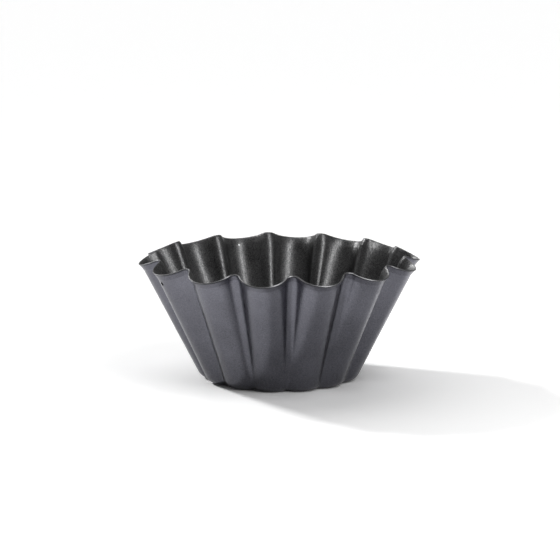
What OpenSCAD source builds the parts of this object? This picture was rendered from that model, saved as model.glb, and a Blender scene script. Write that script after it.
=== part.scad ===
// Fluted brioche mould: one pressed steel sheet with a coat on each side.
// The origin is the middle of the underside, +Z is up, and the first flute points along +X.

/* [Mould] */
// Diameter across the flutes at the rim
rim_d = 200; // [180:1:230]
// Diameter across the flutes at the base, where the wall would meet the floor in a sharp corner
base_d = 112; // [90:1:130]
// Height of the rim at the middle of a flute
height = 82.5; // [60:0.5:120]
// Radius of the rounded corner between wall and floor, outside
corner_r = 9; // [3:0.5:14]

/* [Flutes] */
// Number of flutes
flute_count = 14; // [10:1:18]
// How far the creases between the flutes dip in at the rim
rim_flute_depth = 11.4; // [5:0.2:14]
// How far the creases dip in at the base
base_flute_depth = 2.7; // [1:0.1:4]
// Radius of a crease at the rim
rim_crease_r = 4.6; // [3:0.2:9]
// Radius of a crease at the base
base_crease_r = 5; // [2:0.5:8]

/* [Rim] */
// How much higher the rim stands at a crease than at the middle of a flute
rim_wave = 5.8; // [0:0.2:8]
// Height of the lip below the rim, measured down the wall
lip_height = 5; // [2:0.5:6]
// How far the lip flares out past the line of the wall
lip_flare = 1.7; // [0:0.1:3]

/* [Sheet and coats] */
// Thickness of the steel sheet
sheet_t = 0.74; // [0.5:0.02:1.2]
// Thickness of the coat on the outside
outer_coat_t = 0.03; // [0.02:0.01:0.1]
// Thickness of the non-stick coat on the inside
inner_coat_t = 0.03; // [0.02:0.01:0.1]

/* [Hanging holes] */
// Diameter of the two holes that the mould hangs by on the coating line
hole_d = 2; // [1:0.1:3]
// Distance from the rim down the wall to the middle of the first hole
first_hole_drop = 4.4; // [4:0.2:12]
// Distance from the rim down the wall to the middle of the second hole
second_hole_drop = 7.4; // [4:0.2:12]
// Flute that has the first hole, counted from the one along +X
first_hole_flute = 4; // [0:1:9]
// Flutes from the first hole to the second
flutes_between_holes = 4; // [1:1:5]

/* [Hidden] */

// Flat facets along half a flute, along half a crease and round the corner at the base. One more
// facet lies across the middle of each flute, so that a hanging hole goes through a flat place.
flute_steps = 4;
crease_steps = 3;
corner_steps = 4;
half_steps = flute_steps + crease_steps;
flute_columns = 2 * half_steps + 1;
columns = flute_columns * flute_count;

pitch = 360 / flute_count;
half_pitch = pitch / 2;

// Length of the drill that cuts a hanging hole, the same on both sides of the wall
drill_reach = 4 * sheet_t;

function unit(v) = v / norm(v);
function turned(p, angle) = [p.x * cos(angle) - p.y * sin(angle), p.x * sin(angle) + p.y * cos(angle)];

// A plan is the outline of the mould at one height. An arc that bulges out over each flute
// runs smoothly into an arc that dips in at the crease. This gives the radius across the
// flutes, the flute's arc radius, the distance of the crease's centre from the axis, the
// crease's radius, and the angle at which the two arcs meet.
function plan(across, depth, crease_r) =
    let (
        far = across / 2,
        centre = far - depth + crease_r,
        reach = centre * cos(half_pitch),
        flute_r = (far * far + centre * centre - 2 * far * reach - crease_r * crease_r)
            / (2 * (far + crease_r - reach))
    )
    [far, flute_r, centre, crease_r, atan2(centre * sin(half_pitch), reach - far + flute_r)];

// Point s whole steps past the middle facet of the flute along +X, towards the crease beside it
function half_flute_point(plan, s) =
    let (far = plan[0], flute_r = plan[1], centre = plan[2], crease_r = plan[3], meet = plan[4])
    s <= flute_steps
        ? let (a = meet * (s + 0.5) / (flute_steps + 0.5))
            [far - flute_r + flute_r * cos(a), flute_r * sin(a)]
        : let (a = meet + (half_pitch - meet) * (s - flute_steps) / crease_steps)
            [centre * cos(half_pitch) - crease_r * cos(a), centre * sin(half_pitch) - crease_r * sin(a)];

// Point of a plan at column c, counted anticlockwise from the middle of the flute along +X
function plan_point(plan, c) =
    let (
        s = c % flute_columns,
        flute = floor(c / flute_columns),
        before = s <= half_steps,
        p = half_flute_point(plan, before ? s : 2 * half_steps - s)
    )
    before ? turned(p, pitch * flute) : turned([p.x, -p.y], pitch * (flute + 1));

// The rim, and the same line a little inside it where the wall would end without its flare
rim_plan = plan(rim_d, rim_flute_depth, rim_crease_r);
wall_plan = plan(rim_d - 2 * lip_flare, rim_flute_depth, rim_crease_r + lip_flare);
base_plan = plan(base_d, base_flute_depth, base_crease_r);

// The rim rises with the distance that it dips in, so that it looks trimmed square to the wall
function at_rim(plan, c) =
    let (p = plan_point(plan, c))
    [p.x, p.y, height + rim_wave * (plan[0] - norm(p)) / rim_flute_depth];

// Round corner between the floor and a wall that rises along the direction up from the point foot
function corner(foot, up) =
    let (
        inward = -unit(foot),
        rise = unit(up - inward * (up * inward)),
        bend = 180 - acos(up * inward),
        centre = foot + inward * corner_r * tan(bend / 2) + rise * corner_r
    )
    [for (i = [corner_steps:-1:0])
        let (a = bend * i / corner_steps)
        centre - corner_r * (rise * cos(a) + inward * sin(a))];

// Outside of the mould down one column: rim, foot of the lip, then the corner down to the floor
function face_column(c) =
    let (
        foot_xy = plan_point(base_plan, c),
        foot = [foot_xy.x, foot_xy.y, 0],
        top = at_rim(wall_plan, c),
        up = unit(top - foot)
    )
    concat([at_rim(rim_plan, c), top - up * lip_height], corner(foot, up));

face = [for (c = [0:columns - 1]) face_column(c)];
rows = len(face[0]);

// Direction into the sheet at one point of the outside
function inward_at(c, r) =
    let (
        here = face[c][r],
        across = unit(face[(c + 1) % columns][r] - here) - unit(face[(c + columns - 1) % columns][r] - here),
        down = face[c][min(r + 1, rows - 1)] - face[c][max(r - 1, 0)]
    )
    r == rows - 1 ? [0, 0, 1] : unit(cross(across, down));

inward = [for (c = [0:columns - 1]) [for (r = [0:rows - 1]) inward_at(c, r)]];

function skin(depth) = [for (c = [0:columns - 1], r = [0:rows - 1]) face[c][r] + inward[c][r] * depth];

// A closed layer of the mould between two depths below its outside
module layer(from, to) {
    inner = columns * rows;
    function at(c, r) = (c % columns) * rows + r;
    outer_walls = [for (c = [0:columns - 1], r = [0:rows - 2]) each [
        [at(c, r), at(c + 1, r), at(c + 1, r + 1)],
        [at(c, r), at(c + 1, r + 1), at(c, r + 1)]
    ]];
    inner_walls = [for (f = outer_walls) [f[2] + inner, f[1] + inner, f[0] + inner]];
    rim = [for (c = [0:columns - 1]) each [
        [at(c + 1, 0) + inner, at(c + 1, 0), at(c, 0)],
        [at(c + 1, 0) + inner, at(c, 0), at(c, 0) + inner]
    ]];
    underside = [for (c = [0:columns - 1]) at(c, rows - 1)];
    floor_top = [for (c = [columns - 1:-1:0]) at(c, rows - 1) + inner];
    polyhedron(
        points = concat(skin(from), skin(to)),
        faces = concat(outer_walls, inner_walls, rim, [underside, floor_top])
    );
}

// Drill through the wall in the middle of a flute, square to the sheet, so far below the rim
module hanging_hole(flute, drop) {
    lip_foot = [face[0][1].x, 0, face[0][1].z];
    wall_foot = [face[0][2].x, 0, face[0][2].z];
    down = unit(wall_foot - lip_foot);
    lean = atan2(-down.x, -down.z);
    rotate([0, 0, pitch * flute])
        translate(lip_foot + down * (drop - lip_height))
        rotate([0, lean - 90, 0])
        cylinder(h = 2 * drill_reach, d = hole_d, center = true, $fn = 32);
}

module drilled_layer(from, to) {
    difference() {
        layer(from, to);
        hanging_hole(first_hole_flute, first_hole_drop);
        hanging_hole(first_hole_flute + flutes_between_holes, second_hole_drop);
    }
}

module outer_coat() {
    color("#5d5e66")
        drilled_layer(0, outer_coat_t);
}

module pressed_shell() {
    color("#b4b6b8")
        drilled_layer(outer_coat_t, outer_coat_t + sheet_t);
}

module inner_coat() {
    color("#2c2c2f")
        drilled_layer(outer_coat_t + sheet_t, outer_coat_t + sheet_t + inner_coat_t);
}

pressed_shell();
inner_coat();
outer_coat();
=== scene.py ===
import math

import bmesh
import bpy
import numpy as np
from mathutils import Matrix, Vector


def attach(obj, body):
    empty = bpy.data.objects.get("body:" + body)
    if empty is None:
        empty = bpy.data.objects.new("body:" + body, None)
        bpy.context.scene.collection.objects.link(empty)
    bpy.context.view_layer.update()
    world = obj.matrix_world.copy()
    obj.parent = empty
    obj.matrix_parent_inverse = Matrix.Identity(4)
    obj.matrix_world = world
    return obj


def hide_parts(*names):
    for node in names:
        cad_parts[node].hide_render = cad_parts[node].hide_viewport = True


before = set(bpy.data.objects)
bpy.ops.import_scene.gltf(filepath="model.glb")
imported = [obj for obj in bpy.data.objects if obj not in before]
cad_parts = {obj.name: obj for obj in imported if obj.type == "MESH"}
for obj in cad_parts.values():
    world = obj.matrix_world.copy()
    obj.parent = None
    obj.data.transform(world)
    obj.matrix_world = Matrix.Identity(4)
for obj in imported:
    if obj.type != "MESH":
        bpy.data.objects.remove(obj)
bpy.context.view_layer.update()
print("frame loaded:", sorted(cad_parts))

mm = 0.001

# Fluted brioche mould: one pressed steel sheet, a satin coat outside and a glossy one inside.
# Real sizes in millimetres. Those without a note are the same in the solids.
mould = {
    "rimAcross": 200,
    "baseAcross": 112,
    "height": 82.5,
    "cornerRadius": 9,
    "fluteCount": 14,
    "rimFluteDepth": 11.4,
    "baseFluteDepth": 2.7,
    "rimCreaseRadius": 4.6,
    "baseCreaseRadius": 5,
    "rimWave": 5.8,
    "lipHeight": 5,
    "lipFlare": 1.7,
    "lipCurve": 1.25,  # 1 is a straight lip with a fold under it, and more curves it
    "edgeCurl": 0.2,  # share of the flare that lies in a tight curl at the trimmed edge
    "curlTightness": 12,  # more keeps the curl closer to the edge
    "edgeArch": 0.08,  # how far the trimmed edge of the steel bulges in its middle
    "edgeSquareness": 2.5,  # 1 is a gable, 2 an arc, and more has squarer shoulders
    "sheet": 0.74,
    "outerCoat": 0.03,
    "innerCoat": 0.03,
}

# How finely the sheet is divided, round the mould and from the rim to the middle of the floor
divisions = {
    "halfFlute": 14,
    "halfCrease": 9,
    "lip": 13,
    "lipCrowding": 1.6,  # more than 1 sets the rows of the lip closer together near the rim
    "wall": 18,
    "corner": 9,
    "floor": 5,
    "edge": 4,  # across the trimmed edge of the sheet
    "sharpDegrees": 38,  # edges that turn more than this are shaded sharp
}

pitch = 2 * math.pi / mould["fluteCount"]


def unit(v):
    return v / np.linalg.norm(v, axis=-1, keepdims=True)


def turned(points, angle):
    c, s = math.cos(angle), math.sin(angle)
    return points @ np.array([[c, s], [-s, c]])


# Outline of the mould at one height: an arc bulges out over each flute and runs smoothly
# into a tighter one that dips in at the crease.
def planOutline(across, depth, creaseRadius):
    far = across / 2
    half = pitch / 2
    centre = far - depth + creaseRadius
    reach = centre * math.cos(half)
    fluteRadius = (far ** 2 + centre ** 2 - 2 * far * reach - creaseRadius ** 2)
    fluteRadius /= 2 * (far + creaseRadius - reach)
    meet = math.atan2(centre * math.sin(half), reach - far + fluteRadius)
    a = np.linspace(0, meet, divisions["halfFlute"] + 1)
    flute = np.column_stack([far - fluteRadius + fluteRadius * np.cos(a), fluteRadius * np.sin(a)])
    a = np.linspace(meet, half, divisions["halfCrease"] + 1)[1:]
    crease = np.column_stack([reach - creaseRadius * np.cos(a),
                              centre * math.sin(half) - creaseRadius * np.sin(a)])
    there = np.concatenate([flute, crease])
    back = there[-2:0:-1] * [1, -1]
    turns = range(mould["fluteCount"])
    return np.concatenate([turned(part, pitch * (k + late))
                           for k in turns for part, late in ((there, 0), (back, 1))])


# The rim, or the same line a little inside it where the wall would end without its flare. It
# rises with the distance that it dips in, as if trimmed square to the wall.
def rimLine(inside):
    across = mould["rimAcross"] - 2 * inside
    flat = planOutline(across, mould["rimFluteDepth"], mould["rimCreaseRadius"] + inside)
    dip = (across / 2 - np.linalg.norm(flat, axis=1)) / mould["rimFluteDepth"]
    return np.column_stack([flat, mould["height"] + mould["rimWave"] * dip])


# Outside of the sheet as rows of points, from the rim down to the edge of the flat floor
def sheetFace():
    rim = rimLine(0)
    top = rimLine(mould["lipFlare"])
    base = planOutline(mould["baseAcross"], mould["baseFluteDepth"], mould["baseCreaseRadius"])
    foot = np.column_stack([base, np.zeros(len(base))])
    up = unit(top - foot)
    curl = mould["edgeCurl"]
    lip = []
    for t in np.linspace(0, 1, divisions["lip"] + 1) ** divisions["lipCrowding"]:
        out = (1 - curl) * (1 - t) ** mould["lipCurve"] + curl * (1 - t) ** mould["curlTightness"]
        lip.append(top - up * mould["lipHeight"] * t + (rim - top) * out)
    inward = -unit(foot)
    along = np.sum(up * inward, axis=1, keepdims=True)
    rise = unit(up - inward * along)
    bend = math.pi - np.arccos(along)
    centre = foot + inward * mould["cornerRadius"] * np.tan(bend / 2) + rise * mould["cornerRadius"]
    corner = [centre - mould["cornerRadius"] * (rise * np.cos(bend * s) + inward * np.sin(bend * s))
              for s in np.linspace(1, 0, divisions["corner"] + 1)]
    wall = [lip[-1] + (corner[0] - lip[-1]) * t
            for t in np.linspace(0, 1, divisions["wall"] + 1)[1:-1]]
    return np.array(lip + wall + corner)


# Direction into the sheet at each point of the outside
def inwardOf(face):
    before = unit(np.roll(face, 1, axis=1) - face)
    after = unit(np.roll(face, -1, axis=1) - face)
    down = np.concatenate([face[1:], face[-1:]]) - np.concatenate([face[:1], face[:-1]])
    inward = unit(np.cross(after - before, down))
    inward[-1] = [0, 0, 1]
    return inward


outside = sheetFace()
intoSheet = inwardOf(outside)
print("sheet face:", outside.shape[0], "rows of", outside.shape[1], "points")


# Flat floor inside a row of points, as smaller and smaller rings
def floorRings(edge):
    return [edge * [s, s, 1] for s in np.linspace(1, 0, divisions["floor"] + 1)[1:-1]]


# Rows across the trimmed edge, from the inside to the outside, bulging up in their middle
def edgeRows(inner, outer):
    upSheet = unit(outside[0] - outside[1])
    rows = []
    for t in np.linspace(0, 1, divisions["edge"] + 1)[1:-1]:
        bulge = mould["edgeArch"] * (1 - abs(2 * t - 1) ** mould["edgeSquareness"])
        rows.append(inner + (outer - inner) * t + upSheet * bulge)
    return rows


# A closed layer of the mould between two depths below its outside, with a plain or an arched
# edge at the rim. Each point keeps how far below the rim it is.
def layerPiece(name, fromDepth, toDepth, arched):
    outer = outside + intoSheet * fromDepth
    inner = outside + intoSheet * toDepth
    edge = edgeRows(inner[0], outer[0]) if arched else []
    rows = floorRings(inner[-1])[::-1] + list(inner[::-1]) + edge + list(outer)
    rows += floorRings(outer[-1])
    steps = [np.linalg.norm(b - a, axis=1).mean() for a, b in zip(outside, outside[1:])]
    down = [0, *np.cumsum(steps)]
    underneath = [down[-1]] * (divisions["floor"] - 1)
    belowRim = underneath + down[::-1] + [0] * len(edge) + down + underneath
    bm = bmesh.new()
    mark = bm.verts.layers.float.new("belowRim")
    rings = [[bm.verts.new(p * mm) for p in row] for row in rows]
    ends = [bm.verts.new([0, 0, row[0][2] * mm]) for row in (rows[0], rows[-1])]
    for ring, distance in zip(rings + [ends], belowRim + [down[-1]]):
        for vert in ring:
            vert[mark] = distance
    count = len(rows[0])
    for low, high in zip(rings, rings[1:]):
        for c in range(count):
            bm.faces.new([low[c], low[c - 1], high[c - 1], high[c]])
    for c in range(count):
        bm.faces.new([rings[0][c - 1], rings[0][c], ends[0]])
        bm.faces.new([rings[-1][c], rings[-1][c - 1], ends[1]])
    bmesh.ops.recalc_face_normals(bm, faces=bm.faces)
    data = bpy.data.meshes.new(name)
    bm.to_mesh(data)
    bm.free()
    piece = bpy.data.objects.new(name, data)
    bpy.context.scene.collection.objects.link(piece)
    return piece


# The two small holes near the rim that the tin hangs by while its coats are sprayed
hangingHoles = {
    # flute counted from the one along +X: distance down from the rim, and how wide the hole
    # is, as the coats ran into them unevenly
    "holes": {4: (4.4, 1.6), 8: (7.4, 2.8)},
    "sides": 40,
    "reach": 3,  # how far the drill goes to each side of the wall
}


def holeFrames():
    middle = outside[:, 0]
    wallTop, wallNext = middle[divisions["lip"]], middle[divisions["lip"] + 1]
    down = unit(wallNext - wallTop)
    through = unit(np.cross([0, 1, 0], down))
    for flute, (drop, across) in hangingHoles["holes"].items():
        toHole = Vector(through).to_track_quat("Z", "Y").to_matrix().to_4x4()
        toHole.translation = Vector(wallTop + down * (drop - mould["lipHeight"])) * mm
        yield Matrix.Rotation(pitch * flute, 4, "Z") @ toHole, across / 2 * mm


def drillHoles(piece):
    for hole, radius in holeFrames():
        bm = bmesh.new()
        bmesh.ops.create_cone(bm, cap_ends=True, segments=hangingHoles["sides"], radius1=radius,
                              radius2=radius, depth=2 * hangingHoles["reach"] * mm, matrix=hole)
        drillMesh = bpy.data.meshes.new("drill")
        bm.to_mesh(drillMesh)
        bm.free()
        drill = bpy.data.objects.new("drill", drillMesh)
        bpy.context.scene.collection.objects.link(drill)
        cut = piece.modifiers.new("hanging hole", "BOOLEAN")
        cut.object = drill
        cut.operation = "DIFFERENCE"
        cut.solver = "EXACT"
        shaped = piece.evaluated_get(bpy.context.evaluated_depsgraph_get())
        data = bpy.data.meshes.new_from_object(shaped)
        piece.modifiers.clear()
        old = piece.data
        piece.data = data
        bpy.data.meshes.remove(old)
        bpy.data.objects.remove(drill)
        bpy.data.meshes.remove(drillMesh)
        data.name = piece.name


def smoothShaded(piece):
    piece.data.polygons.foreach_set("use_smooth", [True] * len(piece.data.polygons))
    piece.data.set_sharp_from_angle(angle=math.radians(divisions["sharpDegrees"]))


# Small helpers that keep the materials short
def newMaterial(name, **sockets):
    material = bpy.data.materials.new(name)
    material.use_nodes = True
    tree = material.node_tree
    shader = tree.nodes["Principled BSDF"]
    for socket, value in sockets.items():
        shader.inputs[socket.replace("_", " ")].default_value = value
    return material, tree, shader


# One new node, with values for its sockets or its own settings
def add(tree, kind, **settings):
    node = tree.nodes.new("ShaderNode" + kind)
    for key, value in settings.items():
        if key in node.inputs:
            node.inputs[key].default_value = value
        else:
            setattr(node, key, value)
    return node


# A noise pattern whose blots are so many millimetres across
def noise(tree, across, detail, roughness=0.5):
    place = add(tree, "TexCoord")
    node = add(tree, "TexNoise", Scale=1 / (across * mm), Detail=detail, Roughness=roughness)
    tree.links.new(place.outputs["Object"], node.inputs["Vector"])
    return node.outputs["Fac"]


# Stops for a ramp that runs from one value to another between two values of a pattern
def between(contrast, values):
    return list(zip(contrast, values))


def ramp(tree, source, stops):
    node = add(tree, "ValToRGB")
    while len(node.color_ramp.elements) < len(stops):
        node.color_ramp.elements.new(1)
    for element, (position, color) in zip(node.color_ramp.elements, stops):
        element.position = position
        element.color = (*color, 1) if isinstance(color, tuple) else (color, color, color, 1)
    tree.links.new(source, node.inputs["Fac"])
    return node.outputs["Color"]


def bumps(tree, shader, source, height):
    node = add(tree, "Bump", Strength=1.0, Distance=height * mm)
    tree.links.new(source, node.inputs["Height"])
    tree.links.new(node.outputs["Normal"], shader.inputs["Normal"])
    return node


# Two patterns as one factor. The share is how much the second one counts.
def blend(tree, first, second, share):
    mixed = add(tree, "Mix", data_type="FLOAT", Factor=share)
    tree.links.new(first, mixed.inputs["A"])
    tree.links.new(second, mixed.inputs["B"])
    return mixed.outputs["Result"]


# A factor worked out with one number, such as a length divided by a size
def figured(tree, operation, source, number):
    node = add(tree, "Math", operation=operation)
    node.inputs[1].default_value = number
    tree.links.new(source, node.inputs[0])
    return node.outputs["Value"]


# How high a place on the mould is above its underside
def heightAbove(tree):
    place = add(tree, "TexCoord")
    split = add(tree, "SeparateXYZ")
    tree.links.new(place.outputs["Object"], split.inputs["Vector"])
    return split.outputs["Z"]


satin = {
    "dark": (0.038, 0.038, 0.042),
    "light": (0.190, 0.190, 0.221),
    "roughness": (0.26, 0.34),
    "cloud": 24,  # sizes of the patterns, in millimetres
    "fleck": 0.8,
    "fleckShare": 0.6,
    "paintedShadeDownward": 0.25,  # how much the coat lightens toward the rim: painted shade that darkens the lower wall, where it reflects the floor shaded by the mould
    "contrast": (0.15, 0.85),  # values of the pattern that are darkest and lightest
    "grain": 0.7,
    "grainContrast": (0.3, 0.7),
    "grainRoughness": 0.6,
    "grainHeight": 0.06,
    # how light the coat is at these distances below the rim: painted shade along the trimmed edge
    # and, a little, on the lip, and a painted highlight on the fold under the lip
    "paintedLipShades": [(0, 0.45), (0.8, 0.5), (1.1, 0.88), (4.6, 0.87), (5.2, 1.1), (6.2, 1.0)],
    "lipReach": 10,  # the shades are looked up down to this distance
}


# Painted shade at the trimmed edge and on the lip, and a painted highlight on the fold under the
# lip, looked up by the distance below the rim
def paintedLipShadeAndHighlight(tree):
    place = add(tree, "Attribute", attribute_name="belowRim")
    reach = satin["lipReach"]
    down = figured(tree, "DIVIDE", place.outputs["Fac"], reach)
    return ramp(tree, down, [(distance / reach, light) for distance, light in satin["paintedLipShades"]])


def satinCoatMaterial():
    material, tree, shader = newMaterial("satin dark coat", Metallic=1.0)
    clouds = noise(tree, satin["cloud"], detail=3)
    flecks = noise(tree, satin["fleck"], detail=2)
    grain = noise(tree, satin["grain"], detail=3, roughness=satin["grainRoughness"])
    spots = blend(tree, clouds, flecks, satin["fleckShare"])
    # Painted shade: the coat is made darker low on the wall and lighter toward the rim
    height = figured(tree, "DIVIDE", heightAbove(tree), mould["height"] * mm)
    spots = blend(tree, spots, height, satin["paintedShadeDownward"])
    colour = ramp(tree, spots, between(satin["contrast"], (satin["dark"], satin["light"])))
    shaded = add(tree, "VectorMath", operation="MULTIPLY")
    tree.links.new(colour, shaded.inputs[0])
    tree.links.new(paintedLipShadeAndHighlight(tree), shaded.inputs[1])
    tree.links.new(shaded.outputs["Vector"], shader.inputs["Base Color"])
    roughness = ramp(tree, grain, between(satin["grainContrast"], satin["roughness"]))
    tree.links.new(roughness, shader.inputs["Roughness"])
    bumps(tree, shader, grain, satin["grainHeight"])
    return material


gloss = {
    "dark": (0.032, 0.032, 0.033),
    "light": (0.184, 0.184, 0.186),
    "roughness": (0.36, 0.46),
    "clearWeight": (0.3, 1.0),
    "clearRoughness": 0.2,
    "cloud": 18,
    "fleck": 0.8,
    "fleckShare": 0.7,
    "contrast": (0.3, 0.7),
    "sheenContrast": (0.35, 0.65),
    "peel": 1.1,  # the skin of the coat is pebbled like an orange's
    "peelHeight": 0.15,
}


# A dark metallic paint with a rough sheen, under a smoother clear layer
def glossyCoatMaterial():
    material, tree, shader = newMaterial("glossy non-stick coat", Metallic=1.0,
                                         Coat_Roughness=gloss["clearRoughness"])
    clouds = noise(tree, gloss["cloud"], detail=3)
    flecks = noise(tree, gloss["fleck"], detail=2)
    spots = blend(tree, clouds, flecks, gloss["fleckShare"])
    colour = ramp(tree, spots, between(gloss["contrast"], (gloss["dark"], gloss["light"])))
    roughness = ramp(tree, clouds, between(gloss["sheenContrast"], gloss["roughness"]))
    clearWeight = ramp(tree, flecks, between(gloss["sheenContrast"], gloss["clearWeight"]))
    tree.links.new(colour, shader.inputs["Base Color"])
    tree.links.new(roughness, shader.inputs["Roughness"])
    tree.links.new(clearWeight, shader.inputs["Coat Weight"])
    peel = noise(tree, gloss["peel"], detail=2)
    bump = bumps(tree, shader, peel, gloss["peelHeight"])
    tree.links.new(bump.outputs["Normal"], shader.inputs["Coat Normal"])
    return material


steel = {
    "dark": (0.15, 0.15, 0.155),
    "light": (0.33, 0.33, 0.34),
    "roughness": (0.30, 0.44),
    "grain": 0.25,
    "grainContrast": (0.3, 0.7),
    "grainHeight": 0.008,
    "painted": (0.018, 0.018, 0.02),  # inside the hanging holes, where the coats ran in
    "paintedBelow": 80.5,
}


def bareSteelMaterial():
    material, tree, shader = newMaterial("bare trimmed steel", Metallic=1.0)
    grain = noise(tree, steel["grain"], detail=3)
    bare = ramp(tree, grain, between(steel["grainContrast"], (steel["dark"], steel["light"])))
    inHoles = figured(tree, "LESS_THAN", heightAbove(tree), steel["paintedBelow"] * mm)
    paint = add(tree, "Mix", data_type="RGBA")
    first, second, mixed = paint.inputs[6], paint.inputs[7], paint.outputs[2]  # its colour sockets
    second.default_value = (*steel["painted"], 1)
    tree.links.new(inHoles, paint.inputs["Factor"])
    tree.links.new(bare, first)
    tree.links.new(mixed, shader.inputs["Base Color"])
    roughness = ramp(tree, grain, between(steel["grainContrast"], steel["roughness"]))
    tree.links.new(roughness, shader.inputs["Roughness"])
    bumps(tree, shader, grain, steel["grainHeight"])
    return material


# The three layers from the outside in: name, thickness, whether the edge is arched, the solid
# that the layer replaces, its material slot and its material
layers = [
    ("outerCoat", mould["outerCoat"], False, "outer_coat", "satin_coat", satinCoatMaterial()),
    ("steelSheet", mould["sheet"], True, "pressed_shell", "bare_steel", bareSteelMaterial()),
    ("innerCoat", mould["innerCoat"], False, "inner_coat", "nonstick_coat", glossyCoatMaterial()),
]
depth = 0
for name, thickness, arched, node, slot, material in layers:
    piece = layerPiece(name, depth, depth + thickness, arched)
    depth += thickness
    drillHoles(piece)
    smoothShaded(piece)
    piece.data.materials.append(material)
    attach(piece, "root")
    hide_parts(node)
    print(name, "made with", len(piece.data.polygons), "faces")


# Studio: a wide white floor under a large soft light overhead, a small key light from behind on
# the left that gives the shadow its edges, and a strip light at the front right that streaks the
# gloss. The first two are a pair of lamps each, one that lights and one that only glints.
studio = {
    "floorHalf": 9.0,
    "floorSquares": 8,
    "floorColour": 0.80,
    "floorSeen": 1.12,  # colour of the floor where the camera or a reflection sees it
    "worldLight": 0.16,
    # direction toward the light, strength, how wide it looks in degrees, whether it glints
    "lights": {
        "key": ((-0.723, 0.691, 0.61), 2.52, 7, False),
        "keyGlint": ((-0.755, 0.656, 0.61), 0.42, 12, True),
        "overhead": ((-0.12, 0.62, 0.85), 1.20, 72, False),
        "overheadGlint": ((-0.12, 0.62, 0.85), 1.66, 72, True),
    },
    # the strip leans over at the front right: its azimuth, the elevations of its two ends
    # and its width in degrees, its distance in metres, its brightness
    "strip": {"azimuth": -56, "low": 14, "high": 72, "width": 13, "away": 0.8, "glow": 6.1},
}


# The floor throws back light as one colour and is seen as a paler one
def makeFloor():
    bm = bmesh.new()
    squares = studio["floorSquares"]
    bmesh.ops.create_grid(bm, x_segments=squares, y_segments=squares, size=studio["floorHalf"])
    data = bpy.data.meshes.new("studioFloor")
    bm.to_mesh(data)
    bm.free()
    floor = bpy.data.objects.new("studioFloor", data)
    bpy.context.scene.collection.objects.link(floor)
    material = bpy.data.materials.new("white studio floor")
    material.use_nodes = True
    tree = material.node_tree
    tree.nodes.clear()
    lightPath = add(tree, "LightPath")
    cameraOrGlossy = add(tree, "Math", operation="MAXIMUM")
    seen = add(tree, "Math", operation="MAXIMUM")
    plain, seenPlain = studio["floorColour"], studio["floorSeen"]
    asLit = add(tree, "BsdfDiffuse", Color=(plain, plain, plain, 1))
    asSeen = add(tree, "BsdfDiffuse", Color=(seenPlain, seenPlain, seenPlain, 1))
    mix = add(tree, "MixShader")
    out = add(tree, "OutputMaterial")
    link = tree.links.new
    link(lightPath.outputs["Is Camera Ray"], cameraOrGlossy.inputs[0])
    link(lightPath.outputs["Is Glossy Ray"], cameraOrGlossy.inputs[1])
    link(cameraOrGlossy.outputs[0], seen.inputs[0])
    link(lightPath.outputs["Is Transmission Ray"], seen.inputs[1])
    link(seen.outputs[0], mix.inputs[0])
    link(asLit.outputs[0], mix.inputs[1])
    link(asSeen.outputs[0], mix.inputs[2])
    link(mix.outputs[0], out.inputs["Surface"])
    data.materials.append(material)


def makeLights():
    world = bpy.data.worlds.new("studio")
    bpy.context.scene.world = world
    world.use_nodes = True
    background = world.node_tree.nodes["Background"]
    background.inputs["Color"].default_value = (1, 1, 1, 1)
    background.inputs["Strength"].default_value = studio["worldLight"]
    for name, (toward, strength, width, glints) in studio["lights"].items():
        light = bpy.data.objects.new(name, bpy.data.lights.new(name, "SUN"))
        light.data.energy = strength
        light.data.angle = math.radians(width)
        light.visible_diffuse = not glints
        light.visible_glossy = glints
        light.rotation_euler = Vector(toward).to_track_quat("Z", "Y").to_euler()
        bpy.context.scene.collection.objects.link(light)
    strip = studio["strip"]
    middle = math.radians((strip["low"] + strip["high"]) / 2)
    around = math.radians(strip["azimuth"])
    toward = Vector((math.cos(around) * math.cos(middle), math.sin(around) * math.cos(middle),
                     math.sin(middle)))
    light = bpy.data.objects.new("strip", bpy.data.lights.new("strip", "AREA"))
    light.data.shape = "RECTANGLE"
    light.data.size = 2 * strip["away"] * math.tan(math.radians(strip["width"]) / 2)
    light.data.size_y = 2 * strip["away"] * math.tan(math.radians(strip["high"] - strip["low"]) / 2)
    light.data.energy = strip["glow"] * math.pi * light.data.size * light.data.size_y
    light.location = toward * strip["away"]
    light.rotation_euler = toward.to_track_quat("Z", "Y").to_euler()
    bpy.context.scene.collection.objects.link(light)


# Camera at the photograph's viewing angle: it looks at a point close to the mould's own axis
shot = {
    "lookAt": (0.141, 69.382),  # millimetres to the right of the axis, and above the floor
    "distance": 1738,  # millimetres
    "azimuth": -5.632,  # degrees
    "elevation": 10.764,  # degrees
    "focalLength": 157.4,
    "sensor": 36,
    "farthest": 50,  # metres that the camera still sees
}


def makeCamera():
    azimuth, elevation = math.radians(shot["azimuth"]), math.radians(shot["elevation"])
    forward = Vector((-math.sin(azimuth) * math.cos(elevation),
                      math.cos(azimuth) * math.cos(elevation), -math.sin(elevation)))
    right = Vector((math.cos(azimuth), math.sin(azimuth), 0))
    aside, above = shot["lookAt"]
    target = (right * aside + Vector((0, 0, above))) * mm
    camera = bpy.data.objects.new("camera", bpy.data.cameras.new("camera"))
    camera.data.lens = shot["focalLength"]
    camera.data.sensor_width = shot["sensor"]
    camera.data.clip_end = shot["farthest"]
    camera.location = target - forward * shot["distance"] * mm
    camera.rotation_euler = forward.to_track_quat("-Z", "Y").to_euler()
    bpy.context.scene.collection.objects.link(camera)
    bpy.context.scene.camera = camera


makeFloor()
makeLights()
makeCamera()
bpy.context.scene.view_settings.view_transform = "Standard"
print("studio made")
